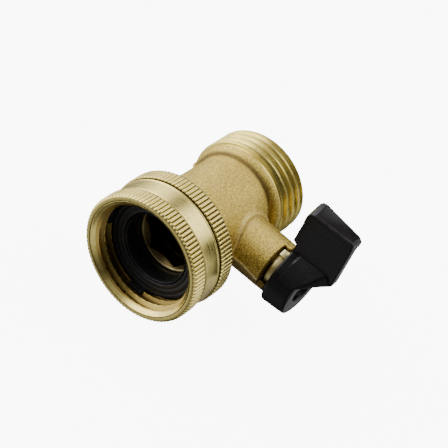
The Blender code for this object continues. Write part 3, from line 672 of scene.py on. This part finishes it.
rest_of = [(6.25, 15.25), (6.2, 15.4), (6.2, 18.1), (6.1, 18.3), (5.2, 18.85), (5.1, 19.0), (5.1, 19.45), (5.2, 19.5), (9.0, 19.5), (9.4, 19.2), (9.5, 19.0), (9.5, 18.1), (7.9, 18.1), (7.9, 16.0), (9.5, 16.0), (9.5, 12.4), (11.0, 12.4), (12.0, 12.4), (12.1, 12.3), (12.1, 11.15)]
for r, a in rest_of:
    tail_r.append(np.full(len(angles), r))
    tail_a.append(np.full(len(angles), a))
tailpiece = lathe("tailpiece_socket", angles, np.stack(tail_a, 1), np.stack(tail_r, 1), material=SOCKET_PAINTED_SHADE, body="valve", nodes=("inlet_tailpiece",), slot="brass_turned", sharp=30)


# ------------------------------------------------------------------ body casting
def wrapped(angle):
    return (angle + math.pi) % TAU - math.pi


def casting_field(x, y, z):
    rad = np.sqrt(x * x + z * z)
    u = y - STEM_Y
    rb = np.sqrt(u * u + z * z)
    # Barrel, a crease, and the round shoulder of the flange.
    t = np.clip((y - 34.55) / 1.9, 0, 1)
    swell = np.maximum(rad - (10.95 + 1.83 * np.sqrt(np.maximum(1 - (1 - t) ** 2, 0))), 34.5 - y)
    shell = smooth_min(rad - 11.0, swell * 0.7, 0.12)
    shell = smooth_max(shell, y - 36.75, 0.35)
    # Boss with a saddle pad round its foot.
    # Its skin is cast a little off the bored hole, down and towards the inlet.
    rc = np.sqrt((u + 0.27) ** 2 + (z + 0.27) ** 2)
    boss_r = 6.54 + np.clip(19.2 - x, 0, 12) * 0.02
    boss = smooth_max(rc - boss_r, x - 19.55, 0.2)
    boss = np.maximum(boss, 5.0 - x)
    pad = smooth_max(np.maximum(rc - 7.45, 4.0 - x), rad - 11.8, 0.2)
    outside = smooth_min(shell, pad, 0.14)
    outside = smooth_min(outside, boss, 0.2)
    # Raised stop wall on the rim.
    wall = smooth_max(np.maximum(5.38 - rb, rc - 6.54), x - 21.5, 0.15)
    wall = np.maximum(wall, 16.5 - x)
    gap = (math.radians(58.9) - np.abs(wrapped(np.arctan2(z, u) - math.radians(147.9)))) * np.maximum(rb, 0.5)
    wall = smooth_max(wall, gap, 0.15)
    outside = smooth_min(outside, wall, 0.2)
    # Parting line of the mould, in the plane of both axes.
    ridge = 0.36 * np.exp(-(((z + 0.4 + 0.2 * np.clip(x - 14.9, 0, 5)) / 0.27) ** 2)) * np.clip((20.3 - x) / 0.8, 0, 1)
    outside = outside - ridge
    outside = smooth_max(outside, 14.5 - y, 0.4)
    # Passages.
    cavity = np.minimum(np.maximum(rad - 9.8, y - 19.6), np.maximum(rad - 9.1, y - 35.3))
    cavity = np.minimum(cavity, rad - 5.1)
    stem_hole = np.maximum(rb - 3.6, 5.0 - x)
    stem_hole = np.minimum(stem_hole, np.maximum(np.maximum(rb - 4.6, x - 11.3), 3.0 - x))
    chamfer = np.maximum(rb - 3.6 - np.maximum(0.0, x - 19.1), 15 - x)
    stem_hole = np.minimum(stem_hole, chamfer)
    return np.maximum(outside, -np.minimum(cavity, stem_hole))


CELL = 0.21
casting = surface_of(
    "body_casting",
    casting_field,
    (-13.3, 14.0, -13.4),
    (21.9, 37.3, 13.4),
    CELL,
    relax=2,
    material=CAST,
    body="valve",
    nodes=("valve_body",),
    slot="brass_cast",
)

# ------------------------------------------------------------------ machined outlet: rim, thread relief, helical thread, bore
angles = around(720)
FIRST = 38.3
before = rounded_profile([(12.4, 36.3), (12.78, 36.42), (12.8, 36.72), (12.62, 36.86), (12.1, 37.2)], [0, 0.1, 0.08, 0.08, 0.1], 3)
thread_y = np.arange(37.25, 46.02, 0.055)
phase = (thread_y[None, :] - FIRST) / PITCH - angles[:, None] / TAU
off = np.abs(phase - np.round(phase)) * 2
# Narrow crests with a small flat, wide rounded valleys.
thread = 12.42 + 1.08 * np.clip(1.06 * (1 - np.sin(off * math.pi / 2) ** 0.8) + 0.0, 0, 1)
lead_in = np.clip((thread_y - 37.35) / 0.4, 0, 1)[None, :]
lead_out = 12.15 + np.clip((46.25 - thread_y) / 0.9, 0, 1)[None, :] * 1.5
thread = np.minimum(12.1 + (thread - 12.1) * lead_in, lead_out)
after = [(12.1, 46.05), (12.05, 46.12), (11.8, 46.36), (11.7, 46.4), (10.5, 46.4), (9.62, 46.4), (9.5, 46.36), (9.08, 45.95), (9.0, 45.85), (9.0, 43.0), (9.0, 38.9), (8.9, 38.62), (5.3, 36.6), (5.15, 36.45), (5.12, 36.2), (5.6, 36.1)]
head = np.array(before)
tail = np.array(after)
r_all = np.concatenate([np.repeat(head[None, :, 0], len(angles), 0), thread, np.repeat(tail[None, :, 0], len(angles), 0)], 1)
a_all = np.concatenate([np.repeat(head[None, :, 1], len(angles), 0), np.repeat(thread_y[None, :], len(angles), 0), np.repeat(tail[None, :, 1], len(angles), 0)], 1)
outlet = lathe("outlet_thread", angles, a_all, r_all, material=TURNED, body="valve", nodes=("valve_body",), slot="brass_turned", sharp=45)

# ------------------------------------------------------------------ ball, seats, rings
port = 5.0
tilt = math.asin(port / 8.0)
arc = tilt + (math.pi - 2 * tilt) * np.arange(73) / 72
r_ball = np.concatenate([8.0 * np.sin(arc), [4.98, 4.98, 4.98]])
a_ball = np.concatenate([8.0 * np.cos(arc), [-6.0, 0.0, 6.0]])
lobe = around(144)
ball = lathe("ball_plug", lobe, a_ball[None, :], r_ball[None, :], axis="Z", material=CHROME, body="stem", nodes=("ball",), slot="ball_chrome", sharp=40)
cutter_mesh = bpy.data.meshes.new("ball_slot")
corners = [(x, y, z) for x in (6.0, 10.0) for y in (STEM_Y - 9, STEM_Y + 9) for z in (-1.5, 1.5)]
cutter_mesh.from_pydata(
    [[c * MM for c in p] for p in corners],
    [],
    [(0, 1, 3, 2), (4, 6, 7, 5), (0, 4, 5, 1), (2, 3, 7, 6), (0, 2, 6, 4), (1, 5, 7, 3)],
)
cutter = bpy.data.objects.new("ball_slot", cutter_mesh)
bpy.context.scene.collection.objects.link(cutter)
slot_cut = ball.modifiers.new("slot", "BOOLEAN")
slot_cut.operation = "DIFFERENCE"
slot_cut.solver = "EXACT"
slot_cut.object = cutter
bpy.context.view_layer.update()
evaluated = ball.evaluated_get(bpy.context.evaluated_depsgraph_get())
made = bpy.data.meshes.new_from_object(evaluated)
ball.modifiers.clear()
old = ball.data
ball.data = made
bpy.data.objects.remove(cutter)
bpy.data.meshes.remove(old)
if not ball.data.materials:
    ball.data.materials.append(CHROME)


def seat(side, name, node):
    reach = 8.3
    back = 35.3 - 0.3 - STEM_Y
    rs = np.linspace(5.1, 7.3, 14)
    face = [(r, math.sqrt(reach * reach - r * r)) for r in rs]
    line = face + [(7.5, face[-1][1] + 0.02), (8.6, face[-1][1]), (8.8, face[-1][1] + 0.2), (8.8, back - 0.15), (8.65, back), (5.2, back), (5.1, back - 0.1)]
    line = np.array(line)
    return lathe(name, around(180), STEM_Y + side * line[None, :, 1], line[None, :, 0], material=PTFE, body="valve", nodes=(node,), slot="ptfe", sharp=35)


seat(1, "seat_outlet_side", "downstream_seat")
seat(-1, "seat_inlet_side", "upstream_seat")


def ring(name, axis, centre, section, where, material, body, node, slot):
    t = around(28)
    return lathe(name, around(144), (where + section * np.sin(t))[None, :], (centre + section * np.cos(t))[None, :], axis=axis, material=material, body=body, nodes=(node,), slot=slot)


ring("o_ring_tailpiece", "Y", (7.9 + 9.8) / 2, 0.64, 17.05, O_RING, "valve", "tailpiece_o_ring", "o_ring_rubber")
ring("o_ring_stem_low", "X", 2.8, 0.5, 13.3, O_RING, "stem", "stem_o_ring_inner", "o_ring_rubber")
ring("o_ring_stem_high", "X", 2.8, 0.5, 16.3, O_RING, "stem", "stem_o_ring_outer", "o_ring_rubber")
line = np.array([(3.6, 10.45), (3.65, 10.4), (4.25, 10.4), (4.3, 10.45), (4.3, 10.95), (4.25, 11.0), (3.65, 11.0), (3.6, 10.95)])
lathe("thrust_ring", around(144), line[None, :, 1], line[None, :, 0], axis="X", material=PTFE, body="stem", nodes=("stem_thrust_washer",), slot="ptfe", sharp=35)

# ------------------------------------------------------------------ stem
angles = around(360)
rect = np.minimum(3.0 / np.maximum(np.abs(np.cos(angles)), 1e-6), 1.2 / np.maximum(np.abs(np.sin(angles)), 1e-6))
rect = np.minimum(rect, 3.2)
double = np.minimum(3.0, 2.4 / np.maximum(np.abs(np.cos(angles)), 1e-6))
rows = [(6.3, rect * 0.0), (6.3, rect * 0.9), (6.42, rect), (9.05, rect), (9.1, np.full(360, 4.2)), (9.2, np.full(360, 4.3)), (10.0, np.full(360, 4.3)), (10.1, np.full(360, 4.2)), (10.12, np.full(360, 3.3))]
for low, high in ((12.4, 14.2), (15.4, 17.2)):
    rows += [(low - 0.05, np.full(360, 3.3)), (low, np.full(360, 3.2)), (low, np.full(360, 2.1)), (low + 0.1, np.full(360, 2.0)), (high - 0.1, np.full(360, 2.0)), (high, np.full(360, 2.1)), (high, np.full(360, 3.2)), (high + 0.05, np.full(360, 3.3))]
rows += [(18.75, np.full(360, 3.3)), (18.9, np.full(360, 3.15)), (18.92, double), (23.7, double), (23.9, double - 0.2)]
rows += [(23.9, np.full(360, 1.95)), (23.7, np.full(360, 1.8)), (18.0, np.full(360, 1.8)), (17.9, np.full(360, 0.0))]
lathe("stem_shaft", angles, np.stack([np.full(360, a) for a, _ in rows], 1), np.stack([r for _, r in rows], 1), axis="X", capped=True, material=STEM, body="stem", nodes=("stem",), slot="stem_brass", sharp=30)

# ------------------------------------------------------------------ stop collar
angles = around(720)
lug_mid, lug_half = math.radians(106.5), math.radians(9.5)
inside_lug = (np.abs(wrapped(angles - lug_mid)) < lug_half).astype(float)
rim = 5.05 + inside_lug * 0.9
hole = np.minimum(3.3, 2.7 / np.maximum(np.abs(np.cos(angles)), 1e-6))
rows = [(20.37, hole), (20.27, hole + 0.1), (20.25, hole + 0.2), (20.25, rim - 0.12), (20.28, rim - 0.04), (20.35, rim), (21.1, rim), (21.95, rim), (22.02, rim - 0.04), (22.05, rim - 0.12), (22.05, hole + 0.2), (22.03, hole + 0.1), (21.95, hole)]
lathe("collar_ring", angles, np.stack([np.full(720, a) for a, _ in rows], 1), np.stack([r for _, r in rows], 1), axis="X", material=COLLAR, body="stem", nodes=("stop_collar",), slot="brass_collar", sharp=30)

# ------------------------------------------------------------------ handle
PLATE = inset([(22.4, 0.6), (22.4, 10.45), (21.35, 10.9), (21.6, 18.9), (22.5, 20.0), (33.6, 19.8), (34.25, 19.2), (34.25, 7.3), (28.3, 0.9)], 0.15)
LIP = inset([(22.3, 17.0), (21.5, 17.8), (21.55, 19.9), (22.2, 20.9), (23.2, 21.18), (33.2, 20.75), (34.1, 20.0), (34.1, 18.4)], 0.35)
NECK = hull_planes(
    [
        (x, side * y, z)
        for side in (-1, 1)
        for x, y, z in (
            (24.6, 7.2, 3.9),
            (28.45, 7.2, 3.9),
            (33.9, 2.2, 7.2),
            (24.6, 2.2, 9.0),
            (32.2, 2.2, 9.4),
            (24.6, 2.2, 2.0),
            (28.45, 2.2, 2.0),
        )
    ]
)


def handle_field(x, y, z):
    u = y - STEM_Y
    rh = np.sqrt(u * u + z * z)
    hub = smooth_max(rh - (8.3 - 0.075 * np.clip(x - 22.7, 0, 6)), np.abs(x - 25.45) - 3.17, 0.7)
    flat = polygon(PLATE, x, z) - 0.15
    plate = slab(flat, np.abs(u + 0.865) - 1.365, 0.2)
    # The top edge is higher at the back on the inner side, and lower at the back on the outer side.
    flat = polygon(LIP, x + 0 * z, z - (u / 2.3) * (0.55 - 0.1 * (x - 23))) - 0.35
    lip = slab(flat, np.abs(u) - 2.3, 0.3)
    neck = None
    for a, b, c, d in NECK:
        side = a * x + b * u + c * z + d
        neck = side if neck is None else smooth_max(neck, side, 0.2)
    body = smooth_min(smooth_min(plate, lip, 0.3), smooth_min(hub, neck, 0.5), 0.35)
    # Recess for the screw, hole through the web, keyed socket for the stem, shallow dish towards the boss.
    recess = smooth_max(rh - 4.2 - np.clip(x - 28.3, 0, 0.3), 25.2 - x, 0.3)
    recess = np.maximum(recess, x - 29.3)
    web = np.maximum(rh - 1.9, 20 - x)
    socket = np.maximum(np.maximum(rh - 3.3, np.abs(u) - 2.7), x - 24.2)
    dish = smooth_max(rh - 6.4, x - 22.35, 0.1)
    return smooth_max(body, -np.minimum(np.minimum(recess, web), np.minimum(socket, dish)), 0.15)


handle = surface_of(
    "lever_handle",
    handle_field,
    (19.8, STEM_Y - 8.7, -8.7),
    (34.8, STEM_Y + 8.7, 22.0),
    0.17,
    relax=2,
    material=PLASTIC,
    body="stem",
    nodes=("handle",),
    slot="handle_plastic",
)


# ------------------------------------------------------------------ handle screw and its washer
def screw_field(x, y, z):
    u = y - STEM_Y
    r = np.sqrt(u * u + z * z)
    dome = np.sqrt((x - 23.85) ** 2 + r * r) - 4.25
    head = smooth_max(smooth_max(r - 3.5, dome, 0.3), 26.4 - x, 0.12)
    shank = np.maximum(r - 1.5 - 0.0 * x, np.maximum(18.3 - x, x - 27.0))
    solid = np.minimum(head, shank)
    taper = 0.42 + 0.12 * (x - 27.0)
    cross = np.minimum(np.maximum(np.abs(u) - taper, np.abs(z) - 1.9 - 0.35 * (x - 28.0)), np.maximum(np.abs(z) - taper, np.abs(u) - 1.9 - 0.35 * (x - 28.0)))
    cross = np.maximum(cross, 27.0 - x)
    return smooth_max(solid, -cross, 0.1)


surface_of("screw_pan_head", screw_field, (18.0, STEM_Y - 3.8, -3.8), (28.4, STEM_Y + 3.8, 3.8), 0.1, relax=1, material=STEEL, body="stem", nodes=("handle_screw",), slot="screw_steel")
line = np.array([(1.8, 25.55), (1.85, 25.5), (3.5, 25.5), (3.6, 25.6), (3.6, 26.0), (3.5, 26.1), (1.85, 26.1), (1.8, 26.05)])
lathe("lock_ring", around(144), line[None, :, 1], line[None, :, 0], axis="X", material=STEEL, body="stem", nodes=("screw_lock_washer",), slot="screw_steel", sharp=35)


# ------------------------------------------------------------------ floor, light
floor_mesh = bpy.data.meshes.new("floor")
size, level = 60.0, -0.01592
floor_mesh.from_pydata([(-size, -size, level), (size, -size, level), (size, size, level), (-size, size, level)], [], [(0, 1, 2, 3)])
floor = bpy.data.objects.new("floor", floor_mesh)
bpy.context.scene.collection.objects.link(floor)
floor_mat, tree, shader = new_material("floor_pale", (0.9, 0.9, 0.9), 0.0, 0.9, Specular_IOR_Level=0.0)
shader.inputs["Emission Color"].default_value = (1, 1, 1, 1)
shader.inputs["Emission Strength"].default_value = 8.5
floor_mesh.materials.append(floor_mat)
# The white sheet is bright enough to wash out the metal, so it lights and mirrors nothing.
floor.visible_glossy = False
floor.visible_diffuse = False
floor.visible_shadow = False

# The studio: soft panels all round, each a direction and a strength, written as smooth lobes.
PANELS = [
    ((-0.80, -0.46, 0.38), 3.17),
    ((-0.79, 0.32, 0.53), 2.96),
    ((0.34, 0.45, 0.82), 2.89),
    ((-0.92, -0.29, -0.27), 1.43),
    ((0.86, -0.40, -0.32), 0.69),
    ((0.75, 0.63, 0.18), 0.65),
    ((0.04, -0.48, 0.88), 0.36),
    ((-0.62, -0.11, 0.78), 0.55),
    ((0.48, 0.85, -0.23), 0.48),
    ((-0.81, 0.57, -0.12), 0.41),
    ((-0.58, -0.45, -0.68), 0.28),
    ((-0.55, 0.79, 0.28), 0.25),
    ((0.92, -0.20, 0.32), 0.22),
    ((-0.31, -0.85, -0.43), 0.22),
    ((-0.13, -0.97, 0.22), 0.11),
    ((0.00, -0.57, -0.82), 0.10),
    ((0.13, 0.77, -0.62), 0.10),
    ((0.18, -0.13, -0.98), 0.08),
    ((0.71, -0.70, 0.07), 0.04),
    ((0.27, 0.70, -0.67), 0.13),
]
EDGE = math.cos(math.radians(38))

world = bpy.data.worlds.new("world")
bpy.context.scene.world = world
world.use_nodes = True
sky = world.node_tree
towards = sky.nodes.new("ShaderNodeVectorMath")
towards.operation = "NORMALIZE"
sky.links.new(sky.nodes.new("ShaderNodeTexCoord").outputs["Generated"], towards.inputs[0])
total = None
for place, power in PANELS:
    facing = sky.nodes.new("ShaderNodeVectorMath")
    facing.operation = "DOT_PRODUCT"
    facing.inputs[1].default_value = place
    sky.links.new(towards.outputs[0], facing.inputs[0])
    soft = sky.nodes.new("ShaderNodeMapRange")
    soft.interpolation_type = "SMOOTHSTEP"
    soft.inputs["From Min"].default_value = EDGE
    soft.inputs["From Max"].default_value = 1.0
    soft.inputs["To Max"].default_value = power
    sky.links.new(facing.outputs["Value"], soft.inputs["Value"])
    if total is None:
        total = soft.outputs["Result"]
        continue
    add = sky.nodes.new("ShaderNodeMath")
    add.operation = "ADD"
    sky.links.new(total, add.inputs[0])
    sky.links.new(soft.outputs["Result"], add.inputs[1])
    total = add.outputs[0]
# Seen directly, past the floor's far edge, the surround is the same plain white as the floor.
seen = sky.nodes.new("ShaderNodeMix")
seen.data_type = "FLOAT"
sky.links.new(sky.nodes.new("ShaderNodeLightPath").outputs["Is Camera Ray"], seen.inputs[0])
sky.links.new(total, seen.inputs[2])
seen.inputs[3].default_value = 8.5
sky.links.new(seen.outputs[0], sky.nodes["Background"].inputs["Strength"])
sky.nodes["Background"].inputs["Color"].default_value = (1.0, 1.0, 1.0, 1)
